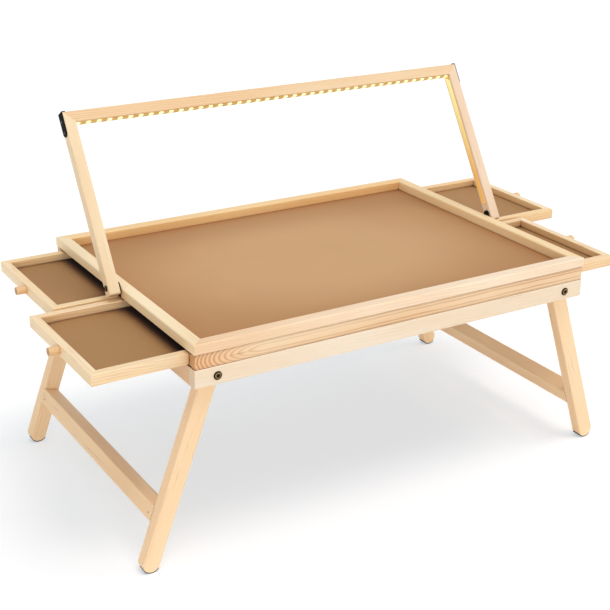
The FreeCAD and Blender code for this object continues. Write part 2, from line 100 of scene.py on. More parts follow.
def add_node(
    tree: NodeTree,
    kind: str,
    settings: dict[str, Any] | str | None = None,
    inputs: dict[str | int, Any] | None = None,
) -> Node:
    """Add a node with its settings and links.

    Args:
        tree: The shader or geometry tree that gets the node.
        kind: Blender's name of the node type.
        settings: Attributes of the node itself and the stops of its ramp, or the name of
            its operation alone.
        inputs: Values, hex colours, output sockets, or nodes that stand for their first
            output, keyed by the input's name or number.

    Returns:
        The new node.
    """
    node = tree.nodes.new(kind)
    if isinstance(settings, str):
        settings = {"operation": settings}
    for name, value in (settings or {}).items():
        if name == "stops":
            set_stops(node.color_ramp, value)
        else:
            setattr(node, name, value)
    for key, value in (inputs or {}).items():
        socket = node.inputs[key]
        if isinstance(value, Node):
            value = value.outputs[0]
        if isinstance(value, NodeSocket):
            tree.links.new(value, socket)
        elif isinstance(value, str) and value.startswith("#"):
            socket.default_value = linear(value)
        else:
            socket.default_value = value
    return node


def new_material(name: str) -> tuple[Material, NodeTree, NodeSocket]:
    """Make a material whose node tree holds the coordinates alone.

    Args:
        name: The material's name.

    Returns:
        The material, its tree, and the place in metres of the point that is shaded.
    """
    material = bpy.data.materials.new(name)
    material.use_nodes = True
    tree = material.node_tree
    tree.nodes.clear()
    return material, tree, add_node(tree, "ShaderNodeTexCoord").outputs["Object"]


def close_material(
    tree: NodeTree,
    shading: dict[str, Any],
    relief: tuple[NodeSocket, float, float] | None = None,
) -> None:
    """End a material's tree with its shader.

    Args:
        tree: The material's tree.
        shading: What goes into the Principled shader's inputs.
        relief: Height, strength and depth in millimetres of a fine relief.
    """
    if relief:
        height, strength, depth_mm = relief
        bump = {"Height": height, "Strength": strength, "Distance": depth_mm * MM}
        shading = shading | {"Normal": add_node(tree, "ShaderNodeBump", inputs=bump)}
    shader = add_node(tree, "ShaderNodeBsdfPrincipled", inputs=shading)
    add_node(tree, "ShaderNodeOutputMaterial", inputs={"Surface": shader})


def lay_coats(tree: NodeTree, ground: Any, coats: Iterable[tuple[Any, Any, str]]) -> NodeSocket:
    """Lay colours over a ground colour, one after another.

    Args:
        tree: The material's tree.
        ground: The first colour.
        coats: Amount, colour and way of blending of each coat.

    Returns:
        The colour of the last coat.
    """
    colour = ground
    for amount, coat, blend in coats:
        mixed = {0: amount, 6: colour, 7: coat}
        settings = {"data_type": "RGBA", "blend_type": blend}
        colour = add_node(tree, "ShaderNodeMix", settings, mixed).outputs[2]
    return colour


def tint_hollows(tree: NodeTree, reach_mm: float, stops: Stops, samples: int = 6) -> Node:
    """Tint the places that little light finds.

    Args:
        tree: The material's tree.
        reach_mm: How near another surface has to be.
        stops: How open the place is, from 0 to 1, and the tint that it has there.
        samples: How many rays look for the other surface.

    Returns:
        The node that gives the tint.
    """
    look = {"Distance": reach_mm * MM}
    hollow_shade = add_node(tree, "ShaderNodeAmbientOcclusion", {"samples": samples}, look)
    return add_node(tree, "ShaderNodeValToRGB", {"stops": stops}, {"Fac": hollow_shade.outputs["AO"]})


class Grain(Enum):
    """Direction that a board's grain runs in, before its own tilt."""

    LENGTH = X_AXIS
    DEPTH = Y_AXIS


class Drawn(NamedTuple):
    """Outputs of one drawn pattern: even values, three values at once, and the shaped result."""

    plain: NodeSocket
    triple: NodeSocket
    shaped: Node


@dataclass(frozen=True)
class Pattern:
    """A soft random pattern of a finish.

    Attributes:
        cell_mm: Size of its cells along the three axes of the space that it is drawn in.
        detail: How much finer pattern lies within a cell.
        stops: Positions, and greys or hex colours, of the ramp that shapes it.
    """

    cell_mm: Triple
    detail: float
    stops: Stops

    def draw(self, tree: NodeTree, space: NodeSocket | Node) -> Drawn:
        """Add the pattern to a material's tree.

        Args:
            tree: The material's tree.
            space: Coordinates in metres.

        Returns:
            The outputs that carry it.
        """
        cells = Vector([1 / (size * MM) for size in self.cell_mm])
        scaled = add_node(tree, "ShaderNodeVectorMath", "MULTIPLY", {0: space, 1: cells})
        cloud = {"Vector": scaled, "Scale": 1.0, "Detail": self.detail, "Roughness": 0.55}
        noise = add_node(tree, "ShaderNodeTexNoise", inputs=cloud).outputs
        ramp = add_node(tree, "ShaderNodeValToRGB", {"stops": self.stops}, {"Fac": noise["Fac"]})
        return Drawn(noise["Fac"], noise["Color"], ramp)


@dataclass(frozen=True)
class Board:
    """How one piece of wood was cut from its log.

    Attributes:
        along: Direction of the grain; a vector has length 1.
        pith_mm: A point that the heart of the log passes through.
        tilt_deg: Turns of the log about the piece's second and third axes; a few degrees
            make the rings run out of the face in arches.
        sweep_mm: How far the log's heart bends aside, across the grain, at the end of the sweep.
        sweep_span_mm: Where along the grain the sweep starts and ends; by default it lies
            beyond the piece.
    """

    along: Grain | Vector
    pith_mm: Triple
    tilt_deg: Pair = (0.0, 0.0)
    sweep_mm: Pair = (0.0, 0.0)
    sweep_span_mm: Pair = (5000.0, 6000.0)

    @property
    def axis(self) -> Vector:
        """Return the unit vector along the grain."""
        return self.along.value if isinstance(self.along, Grain) else self.along

    def turn(self) -> Euler:
        """Return the rotation that carries the X axis along the grain, with the tilt."""
        tilt = Euler((0.0, math.radians(self.tilt_deg[0]), math.radians(self.tilt_deg[1])))
        return (self.axis.to_track_quat("X", "Z").to_matrix() @ tilt.to_matrix()).to_euler()

    def cut_across(self, tree: NodeTree) -> Node:
        """Tell the faces that are cut across the grain from the others.

        Args:
            tree: The material's tree.

        Returns:
            1 where a face is cut across the grain, and 0 where it runs along it.
        """
        facing = {0: add_node(tree, "ShaderNodeTexCoord").outputs["Normal"], 1: self.axis}
        slant = add_node(tree, "ShaderNodeVectorMath", "DOT_PRODUCT", facing).outputs["Value"]
        size = add_node(tree, "ShaderNodeMath", "ABSOLUTE", {0: slant})
        # A slant between these two counts in part.
        span = {"Value": size, "From Min": 0.6, "From Max": 0.9}
        return add_node(tree, "ShaderNodeMapRange", inputs=span)

    def log_space(self, tree: NodeTree, place: NodeSocket) -> Node:
        """Turn the table's coordinates into the log's.

        Args:
            tree: The material's tree.
            place: Coordinates of the table.

        Returns:
            Coordinates with X along the log and its heart on the X axis.
        """
        pith = Vector(self.pith_mm) * MM
        moved = {"Vector": place, "Location": pith, "Rotation": self.turn()}
        return add_node(tree, "ShaderNodeMapping", {"vector_type": "TEXTURE"}, moved)

    def bend(self, tree: NodeTree, log: Node) -> Node:
        """Measure how far along the bend of the log's heart a point is.

        Args:
            tree: The material's tree.
            log: Coordinates of the log.

        Returns:
            0 before the bend and 1 at its end.
        """
        along = add_node(tree, "ShaderNodeSeparateXYZ", inputs={"Vector": log}).outputs["X"]
        start, stop = self.sweep_span_mm
        span = {"Value": along, "From Min": start * MM, "From Max": stop * MM}
        return add_node(tree, "ShaderNodeMapRange", inputs=span)

    def swept(self, tree: NodeTree, log: Node, amount: Node) -> Node:
        """Follow the bend of the log's heart, which grows sharper towards its end.

        Args:
            tree: The material's tree.
            log: Coordinates of the log.
            amount: How far along the bend a point is.

        Returns:
            Coordinates of the log, with its bent heart on the X axis.
        """
        aside = Vector((0.0, -self.sweep_mm[0], -self.sweep_mm[1])) * MM
        sharper = add_node(tree, "ShaderNodeMath", "MULTIPLY", {0: amount, 1: amount})
        moved = {0: sharper, 1: aside, 2: log}
        return add_node(tree, "ShaderNodeVectorMath", "MULTIPLY_ADD", moved)


@dataclass(frozen=True)
class Pine:
    """Radiata pine, planed and sanded, under a thin satin lacquer.

    It reads as a pale cream wood: soft wide rings a shade darker on one side, fine fibres
    along the grain, and here and there a thin brown resin streak.

    Attributes:
        name: What the names of its materials start with.
        pale: Colour of the early wood.
        warm: Colour of its warmer patches.
        ring: Colour of the late wood, at the edge of each year ring.
        streak: Colour of the resin streaks.
        ring_width_mm: Width of a year ring.
        ring_strength: How clear the rings are, from 0 to 1.
        ring_wander_mm: How far the rings stray from true circles.
        streak_strength: How clear the streaks are, from 0 to 1.
        seam_shade: Colour of the painted shade in the seams between the boards.
        seam_shade_mm: How far that painted shade reaches.
        seam_shade_span: How open a place is where the painted shade is full and where it ends.
        hollow_shade: Painted shade on the inner faces, tinted by light off the boards they face.
        hollow_shade_mm: How far the boards are that give that painted shade.
        bent: Tint where the log bends; on the tray's front rail it is painted shade alone.
        bent_strength: How much clearer the rings are there.
        end_grain: Tint where the wood is cut across.
        roughness: Roughness of the lacquer over even fibres.
        relief: Strength, and depth in millimetres, of the relief of its fibres.
    """

    name: str
    pale: str
    warm: str
    ring: str
    streak: str = "#B07A45"
    ring_width_mm: float = 3.4
    ring_strength: float = 0.4
    ring_wander_mm: float = 9.0
    streak_strength: float = 0.25
    seam_shade: str = "#85552F"
    seam_shade_mm: float = 5.0
    seam_shade_span: Pair = (0.15, 0.62)
    hollow_shade: str = WHITE
    hollow_shade_mm: float = 45.0
    bent: str = "#FBE4CE"
    bent_strength: float = 1.4
    end_grain: str = "#F0E8DE"
    roughness: float = 0.46
    relief: Pair = (0.25, 0.12)

    def patterns(self) -> dict[str, Pattern]:
        """Return the wood's patterns, which are drawn in the log's coordinates."""
        clear, streaky = self.ring_strength, self.streak_strength
        # Real fibres are far finer; these are as coarse as they need to be to show.
        return {
            "wander": Pattern((170.0, 26.0, 26.0), 2.0, ((0.3, 0.0), (0.7, 1.0))),
            "patches": Pattern((240.0, 30.0, 30.0), 2.0, ((0.3, 0.25 * clear), (0.7, clear))),
            "tone": Pattern((420.0, 60.0, 60.0), 1.0, ((0.32, 0.0), (0.68, 1.0))),
            "fibres": Pattern((60.0, 0.9, 0.9), 3.0, ((0.3, 0.94), (0.7, 1.0))),
            "streaks": Pattern((130.0, 3.4, 3.4), 2.0, ((0.66, 0.0), (0.74, streaky))),
        }

    def rings(self, tree: NodeTree, heart: Node, wander: Drawn) -> Node:
        """Draw the year rings: pale early wood that darkens slowly and ends at a sharp edge.

        Args:
            tree: The material's tree.
            heart: Coordinates that follow the log's heart.
            wander: Pattern that keeps the rings from being true circles.

        Returns:
            How dark the ring is, from 0 to 1.
        """
        half = {0: wander.triple, 1: (0.5, 0.5, 0.5)}
        centred = add_node(tree, "ShaderNodeVectorMath", "SUBTRACT", half)
        reach = self.ring_wander_mm * MM
        strayed = {0: centred, 1: (0.0, reach, reach), 2: heart}
        bent = add_node(tree, "ShaderNodeVectorMath", "MULTIPLY_ADD", strayed)
        wave = add_node(
            tree,
            "ShaderNodeTexWave",
            {"wave_type": "RINGS", "rings_direction": "X", "wave_profile": "SAW"},
            # One ring takes pi / 10 of the wave texture's own length.
            {"Vector": bent, "Scale": math.pi / 10 / (self.ring_width_mm * MM)},
        ).outputs["Fac"]
        year = ((0.0, 0.12), (0.45, 0.1), (0.82, 0.85), (0.93, 1.0), (1.0, 0.12))
        return add_node(tree, "ShaderNodeValToRGB", {"stops": year}, {"Fac": wave})

    def material(self, piece: str, board: Board) -> Material:
        """Build the wood of one piece.

        Args:
            piece: Name of the piece, which goes into the material's name.
            board: How the piece was cut from its log.

        Returns:
            The finished material.
        """
        material, tree, place = new_material(f"{self.name}_{piece}")
        log = board.log_space(tree, place)
        drawn = {name: pattern.draw(tree, log) for name, pattern in self.patterns().items()}
        # Where the log bends, its rings are cut across and show darker. On the tray's front rail,
        # whose log has no sweep, the darkening towards its left end is painted shade.
        bend = board.bend(tree, log)
        clearest = self.bent_strength * self.ring_strength
        bend_rings = add_node(tree, "ShaderNodeMath", "MULTIPLY", {0: bend, 1: clearest})
        either = {0: drawn["patches"].shaped, 1: bend_rings}
        clearness = add_node(tree, "ShaderNodeMath", "MAXIMUM", either)
        rings = self.rings(tree, board.swept(tree, log, bend), drawn["wander"])
        ring_amount = add_node(tree, "ShaderNodeMath", "MULTIPLY", {0: rings, 1: clearness})
        # Painted shade darkens the seams between the boards.
        full, gone = self.seam_shade_span
        seam_shades = tint_hollows(tree, self.seam_shade_mm, ((full, self.seam_shade), (gone, WHITE)))
        # Painted shade, tinted by light off the boards that they look on, darkens the inner faces.
        inside_shade = tint_hollows(tree, self.hollow_shade_mm, ((0.5, self.hollow_shade), (0.9, WHITE)))
        colour = lay_coats(
            tree,
            self.pale,
            (
                (drawn["tone"].shaped, self.warm, "MIX"),
                (bend, self.bent, "MULTIPLY"),
                (ring_amount, self.ring, "MIX"),
                (drawn["streaks"].shaped, self.streak, "MIX"),
                # End grain drinks more of the lacquer.
                (board.cut_across(tree), self.end_grain, "MULTIPLY"),
                (1.0, drawn["fibres"].shaped, "MULTIPLY"),
                (1.0, seam_shades, "MULTIPLY"),
                (1.0, inside_shade, "MULTIPLY"),
            ),
        )
        fibres = drawn["fibres"].plain
        span = {
            "Value": fibres,
            "From Min": 0.3,
            "From Max": 0.7,
            "To Min": self.roughness + 0.08,
            "To Max": self.roughness - 0.04,
        }
        gloss = add_node(tree, "ShaderNodeMapRange", inputs=span)
        shading = {"Base Color": colour, "Roughness": gloss}
        close_material(tree, shading, (fibres, *self.relief))
        return material


@dataclass(frozen=True)
class Hardboard:
    """Brown hardboard, pressed from wood fibre and faced smooth.

    It reads as an even matt brown with a fine felted grain. A painted pool of the lamp's
    light makes it paler in the middle than along the rails.

    Attributes:
        name: The material's name.
        light: Colour in the middle, under the painted pool of the lamp's light.
        dark: Colour along the rails, outside that painted pool of light.
        lamp_pool_mm: Half the length and half the width over which the painted pool fades out.
        shade: Tints of the places that little light finds, from the darkest on.
        shade_mm: How near another surface shades it.
        roughness: Roughness of its face.
        relief: Strength, and depth in millimetres, of the relief of its fibres.
    """

    name: str
    light: str
    dark: str
    lamp_pool_mm: Pair = (2000.0, 2000.0)
    shade: Stops = ((0.38, "#34160A"), (0.56, "#BCA28B"), (0.76, WHITE))
    shade_mm: float = 70.0
    roughness: float = 0.72
    relief: Pair = (0.2, 0.1)

    def material(self) -> Material:
        """Build the board's material.

        Returns:
            The finished material.
        """
        material, tree, place = new_material(self.name)
        clouds = Pattern((90.0,) * 3, 3.0, ((0.3, 0.965), (0.7, 1.0))).draw(tree, place)
        # The pressed fibres are finer; these are as coarse as they need to be to show.
        fibres = Pattern((1.6,) * 3, 2.0, ((0.3, 0.94), (0.7, 1.0))).draw(tree, place)
        # A painted pool of the lamp's light: paler in the middle, darker towards the rails.
        spread = Vector((1 / (self.lamp_pool_mm[0] * MM), 1 / (self.lamp_pool_mm[1] * MM), 0.0))
        from_middle = add_node(tree, "ShaderNodeVectorMath", "MULTIPLY", {0: place, 1: spread})
        distance = add_node(tree, "ShaderNodeVectorMath", "LENGTH", {0: from_middle})
        fading = {"stops": ((0.35, self.light), (1.0, self.dark))}
        far = {"Fac": distance.outputs["Value"]}
        lamp_pool = add_node(tree, "ShaderNodeValToRGB", fading, far)
        lamp_pool.color_ramp.interpolation = "EASE"
        # Little light finds its way under the tray and into the corners.
        shaded = tint_hollows(tree, self.shade_mm, self.shade, samples=8)
        coats = [(1.0, tint, "MULTIPLY") for tint in (clouds.shaped, fibres.shaped, shaded)]
        colour = lay_coats(tree, lamp_pool, coats)
        shading = {"Base Color": colour, "Roughness": self.roughness}
        close_material(tree, shading, (fibres.plain, *self.relief))
        return material


@dataclass(frozen=True)
class Metal:
    """Steel hardware with a plated or painted surface.

    It reads by its reflections: fine mottling in the plating breaks them up a little, and a
    painted shade from an attribute darkens rims and recesses. Paint reflects less than plating.
    """

    name: str
    light: str
    dark: str
    metallic: float
    roughness: float
    specular: float = 0.5
    patina: str = "#120D09"

    def material(self) -> Material:
        """Build the metal's material.

        Returns:
            The finished material.
        """
        material, tree, place = new_material(self.name)
        mottle = Pattern((1.5,) * 3, 2.0, ((0.3, self.dark), (0.7, self.light))).draw(tree, place)
        low, high = self.roughness - 0.06, self.roughness + 0.06
        span = {"Value": mottle.plain, "To Min": low, "To Max": high}
        gloss = add_node(tree, "ShaderNodeMapRange", inputs=span)
        # Painted shade, from each ring's value, darkens rims and recesses.
        named = {"attribute_name": "patina", "attribute_type": "GEOMETRY"}
        shade_amount = add_node(tree, "ShaderNodeAttribute", named).outputs["Fac"]
        shading = {
            "Base Color": lay_coats(tree, mottle.shaped, ((shade_amount, self.patina, "MIX"),)),
            "Metallic": self.metallic,
            "Roughness": gloss,
            "Specular IOR Level": self.specular,
        }
        close_material(tree, shading)
        return material


@dataclass(frozen=True)
class Felt:
    """Needled felt: a dense dark mat of short fibres with no gloss.

    Attributes:
        name: The material's name.
        light: Colour of the fibres on top.
        dark: Colour between them.
        roughness: Roughness of the mat.
        relief: Strength, and depth in millimetres, of the relief of its fibres.
    """

    name: str
    light: str
    dark: str
    roughness: float = 0.95
    relief: Pair = (0.6, 0.3)

    def material(self) -> Material:
        """Build the felt's material.

        Returns:
            The finished material.
        """
        material, tree, place = new_material(self.name)
        # The needled fibres are finer; these are as coarse as they need to be to show.
        fibres = Pattern((0.8,) * 3, 4.0, ((0.3, self.dark), (0.7, self.light))).draw(tree, place)
        shading = {"Base Color": fibres.shaped, "Roughness": self.roughness}
        close_material(tree, shading, (fibres.plain, *self.relief))
        return material


@dataclass(frozen=True)
class Plastic:
    """Moulded plastic; with a glow it is lit from inside, as a lamp's lenses are."""

    name: str
    light: str
    dark: str
    roughness: float
    glow: str = "#000000"
    glow_strength: float = 0.0

    def material(self) -> Material:
        """Build the plastic's material.

        Returns:
            The finished material.
        """
        material, tree, place = new_material(self.name)
        stops = ((0.35, self.dark), (0.65, self.light))
        shading = {
            "Base Color": Pattern((6.0,) * 3, 1.0, stops).draw(tree, place).shaped,
            "Roughness": self.roughness,
            "Emission Color": self.glow,
            "Emission Strength": self.glow_strength,
        }
        close_material(tree, shading)
        return material


@dataclass(frozen=True)
class LampTape:
    """Flexible lamp tape: gold between the lit spots, with painted light and glow on the arms.

    Attributes:
        name: The material's name.
        gold: Colour of the bare tape under the bar.
        lit: Colour of the lit spots.
        top: Colour of the painted light at the top of the arms, next to the lit bar.
        foot: Colour of the painted light at the foot of the arms.
        bar_from: Where the bar starts, as a part of the tape's height.
        arm_painted_glow: Strength of the painted glow on the arms, which carry no lights.
    """

    name: str
    gold: str
    lit: str
    top: str
    foot: str
    bar_from: float = 0.965
    arm_painted_glow: float = 0.15

    def material(
        self, half_row: float, pitch: float, spot: float, arm: float, heights: Pair
    ) -> Material:
        """Build the tape's material.

        Args:
            half_row: Distance from the middle of the bar to the outermost light.
            pitch: Distance between the lights.
            spot: Length of a lit spot.
            arm: Distance from the middle beyond which the tape lies on an arm.
            heights: Heights of the foot and the top of the tape, in the rest pose.

        Returns:
            The finished material.
        """
        material, tree, place = new_material(self.name)
        along = add_node(tree, "ShaderNodeSeparateXYZ", inputs={"Vector": place}).outputs
        from_first = add_node(tree, "ShaderNodeMath", "ADD", {0: along["X"], 1: half_row})
        from_light = add_node(tree, "ShaderNodeMath", "PINGPONG", {0: from_first, 1: pitch / 2})
        # A spot is bright over its whole length but for a narrow soft edge.
        edge = {"From Min": spot * 0.42, "From Max": spot * 0.56, "To Min": 1.0, "To Max": 0.0}
        spots = add_node(tree, "ShaderNodeMapRange", inputs={"Value": from_light} | edge)
        aside = add_node(tree, "ShaderNodeMath", "ABSOLUTE", {0: along["X"]})
        on_arm = add_node(tree, "ShaderNodeMath", "GREATER_THAN", {0: aside, 1: arm})
        # On the arms, painted light that pales towards the bar and a painted glow stand for the
        # light of the spots.
        span = {"Value": along["Z"], "From Min": heights[0], "From Max": heights[1]}
        rise = add_node(tree, "ShaderNodeMapRange", inputs=span)
        fading = {"stops": ((0.25, self.foot), (0.9, self.top))}
        arm_painted_light = add_node(tree, "ShaderNodeValToRGB", fading, {"Fac": rise})
        below_bar = add_node(tree, "ShaderNodeMath", "LESS_THAN", {0: rise, 1: self.bar_from})
        painted_arm = add_node(tree, "ShaderNodeMath", "MULTIPLY", {0: on_arm, 1: below_bar})
        clamped = {"operation": "SUBTRACT", "use_clamp": True}
        glowing = add_node(tree, "ShaderNodeMath", clamped, {0: spots, 1: on_arm})
        both = {0: painted_arm, 1: self.arm_painted_glow, 2: glowing}
        glow = add_node(tree, "ShaderNodeMath", "MULTIPLY_ADD", both)
        coats = ((glowing, self.lit, "MIX"), (painted_arm, arm_painted_light, "MIX"))
        colour = lay_coats(tree, self.gold, coats)
        shading = {
            "Base Color": colour,
            "Roughness": 0.45,
            "Emission Color": colour,
            "Emission Strength": glow,
        }
        close_material(tree, shading)
        return material


TRAY_PINE = Pine(
    "tray_pine",
    pale="#FAE6CC",
    warm="#F6DCBC",
    ring="#DDB085",
    ring_strength=0.35,
    hollow_shade="#F4E6D0",
    bent="#F5E0C8",
)
CREAM_TRAY_PINE = replace(TRAY_PINE, name="cream_tray_pine", pale="#FDEBC5", warm="#F6DBB0")
# The right and rear rails are seen by their inner faces. These warmer copies have less painted shade
# there and paint the lamp strip's light on those faces.
WARM_TRAY_PINE = replace(
    TRAY_PINE, name="warm_tray_pine", pale="#FBDFAE", warm="#F4D09C", hollow_shade=WHITE
)
HONEY_TRAY_PINE = replace(
    TRAY_PINE, name="honey_tray_pine", pale="#FAD8A0", warm="#F4CA8C", hollow_shade="#F8EEE0"
)
SPACER_PINE = Pine(
    "spacer_pine",
    pale="#F6DAB4",
    warm="#EDC698",
    ring="#AE6A36",
    ring_width_mm=3.6,
    ring_strength=0.7,
    ring_wander_mm=4.0,
    streak_strength=0.5,
    seam_shade_mm=7.0,
    seam_shade_span=(0.7, 0.93),
)
BASE_PINE = Pine("base_pine", pale="#F2E1CA", warm="#EFD8BA", ring="#DDB68C", ring_strength=0.25)
# This darker copy of the pine, on the end rails, paints the shade on their outer faces.
SHADED_BASE_PINE = replace(BASE_PINE, name="shaded_base_pine", pale="#E5BE92", warm="#DFB484")
DRAWER_PINE = Pine(
    "drawer_pine",
    pale="#F9DEB6",
    warm="#F3D0A0",
    ring="#D39C62",
    ring_strength=0.55,
    seam_shade_mm=6.0,
    seam_shade_span=(0.2, 0.7),
    hollow_shade="#FFF8EC",
)
HONEY_DRAWER_PINE = replace(
    DRAWER_PINE, name="honey_drawer_pine", pale="#FBDFB0", warm="#F5CE98", hollow_shade=WHITE
)
FACE_PINE = replace(
    DRAWER_PINE, name="drawer_face_pine", pale="#FBE5C0", warm="#F4D6A6", hollow_shade="#FFEDCF"
)
KNOB_PINE = replace(
    DRAWER_PINE, name="knob_pine", pale="#EBC89A", warm="#E3B884", end_grain="#D3C3B8"
)
LEG_PINE = Pine(
    "leg_pine",
    pale="#FCDDB2",
    warm="#F8D2A4",
    ring="#E5B07A",
    ring_strength=0.4,
    streak_strength=0.5,
)
ARM_PINE = Pine(
    "light_arm_pine", pale="#F1DFBE", warm="#EDD2AA", ring="#DDB283", ring_strength=0.35
)
ROSE_ARM_PINE = replace(ARM_PINE, name="rose_arm_pine", pale="#EAD1B6", warm="#E5C3A3")
BAR_PINE = Pine(
    "light_bar_pine", pale="#ECD3AE", warm="#E8C598", ring="#D29C68", ring_strength=0.5
)
PLAY_HARDBOARD = Hardboard(
    "play_hardboard",
    "#C99E6F",
    "#B58453",
    lamp_pool_mm=(490.0, 340.0),
    shade=((0.2, "#3A2110"), (0.48, "#D2B294"), (0.92, WHITE)),
)
DRAWER_HARDBOARD = Hardboard("drawer_hardboard", "#AA7F4E", "#9A7042")
BRONZE = Metal("bronze_plated_steel", "#9A7F5C", "#6E5738", metallic=1.0, roughness=0.34)
DARK_BRONZE = Metal("browned_steel", "#4A3524", "#2C2018", metallic=1.0, roughness=0.42)
BLACK_STEEL = Metal(
    "black_painted_steel", "#130F0E", "#090707", metallic=0.0, roughness=0.6, specular=0.05
)
BLACK_SCREW = Metal("black_screw_steel", "#3A3532", "#1D1A18", metallic=0.0, roughness=0.35)
ZINC_STEEL = Metal("zinc_plated_steel", "#C9C9C6", "#A9A9A6", metallic=1.0, roughness=0.3)
PAD_FELT = Felt("foot_pad_felt", "#3A2F27", "#241C17")
WASHER_NYLON = Plastic("washer_nylon", "#E9E6DC", "#DAD6CA", roughness=0.5)
TAPE = LampTape("lamp_tape", gold="#E8C468", lit="#FFF3C0", top="#FFF7A6", foot="#F2BE6A")
LENS = Plastic(
    "lamp_lens", "#A09878", "#989070", roughness=0.3, glow="#FFF3B8", glow_strength=0.8
)
WoodPiece = tuple[str, Pine, Board]


def dress(node: str, material: Material) -> None:
    """Give a solid of the frame its material."""
    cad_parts[node].material_slots[0].material = material


def dress_wood(pieces: Iterable[WoodPiece]) -> None:
    """Give each solid of wood the pine that it is made of, cut as its board says."""
    for node, pine, board in pieces:
        dress(node, pine.material(node, board))


def new_object(name: str, data: bpy.types.ID) -> Object:
    """Put a new object into the scene.

    Args:
        name: The object's name.
        data: Its mesh, lamp or camera.

    Returns:
        The object.
    """
    made = bpy.data.objects.new(name, data)
    bpy.context.scene.collection.objects.link(made)
    return made


def new_mesh(name: str, solid: BMesh) -> bpy.types.Mesh:
    """Turn a bmesh into a mesh.

    Args:
        name: The mesh's name.
        solid: The bmesh, which is freed.

    Returns:
        The mesh.
    """
    mesh = bpy.data.meshes.new(name)
    solid.to_mesh(mesh)
    solid.free()
    return mesh


def shaped(name: str, solid: BMesh, material: Material, body: str, slot: str) -> Object:
    """Turn a finished bmesh into a piece that rides on a body.

    Args:
        name: The piece's name.
        solid: Its geometry, in place in the table's frame.
        material: Its finish.
        body: The body that carries it.
        slot: Name of a material slot for the piece; not used.

    Returns:
        The new object.
    """
    bmesh.ops.recalc_face_normals(solid, faces=solid.faces)
    for face in solid.faces:
        face.smooth = True
    for edge in solid.edges:
        edge.smooth = edge.calc_face_angle(math.pi) < SHARP_ANGLE
    mesh = new_mesh(name, solid)
    mesh.materials.append(material)
    piece = new_object(name, mesh)
    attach(piece, body)
    LOG.info("made %s: %d faces, on %s", name, len(mesh.polygons), body)
    return piece


@dataclass(frozen=True)
class Ring:
    """One ring of a turned profile.

    Attributes:
        radius_mm: Its radius, or half the width across flats where it is a hexagon.
        height_mm: Its height along the axis.
        patina: How much painted shade darkens the metal there, from 0 to 1.
        hexagon: Whether it is a hexagon instead of a circle.
    """

    radius_mm: float
    height_mm: float
    patina: float = 0.0
    hexagon: bool = False

    def point(self, angle: float) -> Vector:
        """Find the ring's point at an angle about the axis.

        Args:
            angle: The angle in radians.

        Returns:
            The point in metres.
        """
        radius = self.radius_mm * MM
        if self.hexagon:
            radius /= math.cos((angle + math.pi / 6) % (math.pi / 3) - math.pi / 6)
        return Vector((radius * math.cos(angle), radius * math.sin(angle), self.height_mm * MM))


def turned(profile: Sequence[Ring], segments: int = 48) -> BMesh:
    """Turn a profile round the Z axis into a closed solid.

    Args:
        profile: Its rings, from the axis below to the axis above.
        segments: Faces round the axis.

    Returns:
        The solid, with the painted shade of each ring as an attribute.
    """
    solid = bmesh.new()
    patina = solid.verts.layers.float.new("patina")
    rings: list[list[BMVert]] = []
    for ring in profile:
        count = 1 if ring.radius_mm == 0 else segments
        verts = [solid.verts.new(ring.point(2 * math.pi * i / segments)) for i in range(count)]
        for vert in verts:
            vert[patina] = ring.patina
        rings.append(verts)
    for low, high in zip(rings, rings[1:]):
        for i in range(segments):
            after = (i + 1) % segments
            if len(low) == 1:
                corners = [low[0], high[after], high[i]]
            elif len(high) == 1:
                corners = [low[i], low[after], high[0]]
            else:
                corners = [low[i], low[after], high[after], high[i]]
            solid.faces.new(corners)
    return solid


def joined(solids: Iterable[BMesh]) -> BMesh:
    """Gather several solids into one.

    Args:
        solids: The solids, which are freed.

    Returns:
        The one that holds them all.
    """
    whole = bmesh.new()
    whole.verts.layers.float.new("patina")
    for solid in solids:
        mesh = new_mesh("part", solid)
        whole.from_mesh(mesh)
        bpy.data.meshes.remove(mesh)
    return whole


def aimed(solid: BMesh, place: Vector, direction: Vector) -> BMesh:
    """Turn a solid that was made along +Z another way, and move it.

    Args:
        solid: The solid.
        place: Where its origin goes.
        direction: Where its Z axis points.

    Returns:
        The same solid.
    """
    turn = direction.to_track_quat("Z", "Y").to_matrix().to_4x4()
    solid.transform(Matrix.Translation(place) @ turn)
    return solid


def middle(node: str) -> Vector:
    """Return the middle of a solid's box."""
    low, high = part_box(node)
    return (low + high) / 2


@dataclass
class PointSet:
    """Places where copies of a small piece go, each with the way it faces."""

    places: list[Vector] = field(default_factory=list)
    aims: list[Vector] = field(default_factory=list)

    def add(self, place: Vector, aim: Vector) -> None:
        """Add a place and the direction that the piece there faces."""
        self.places.append(place)
        self.aims.append(aim)

    def base_object(self, name: str) -> Object:
        """Make an object of loose points that carries the directions as an attribute.

        Args:
            name: The object's name.

        Returns:
            The object.
        """
        mesh = bpy.data.meshes.new(name)
        mesh.from_pydata([tuple(p) for p in self.places], [], [])
        attribute = mesh.attributes.new("aim", "FLOAT_VECTOR", "POINT")
        attribute.data.foreach_set("vector", [c for aim in self.aims for c in aim])
        return new_object(name, mesh)


def new_geometry_tree(
    name: str, sizes: Iterable[str]
) -> tuple[NodeTree, bpy.types.NodeOutputs]:
    """Make a geometry tree with named size inputs.

    Args:
        name: The tree's name.
        sizes: Names of its inputs, all lengths in metres.

    Returns:
        The tree, and what comes into it: the geometry and the sizes.
    """
    tree = bpy.data.node_groups.new(name, "GeometryNodeTree")
    tree.interface.new_socket("Geometry", in_out="INPUT", socket_type="NodeSocketGeometry")
    for size in sizes:
        tree.interface.new_socket(size, in_out="INPUT", socket_type="NodeSocketFloat")
    tree.interface.new_socket("Geometry", in_out="OUTPUT", socket_type="NodeSocketGeometry")
    return tree, add_node(tree, "NodeGroupInput").outputs


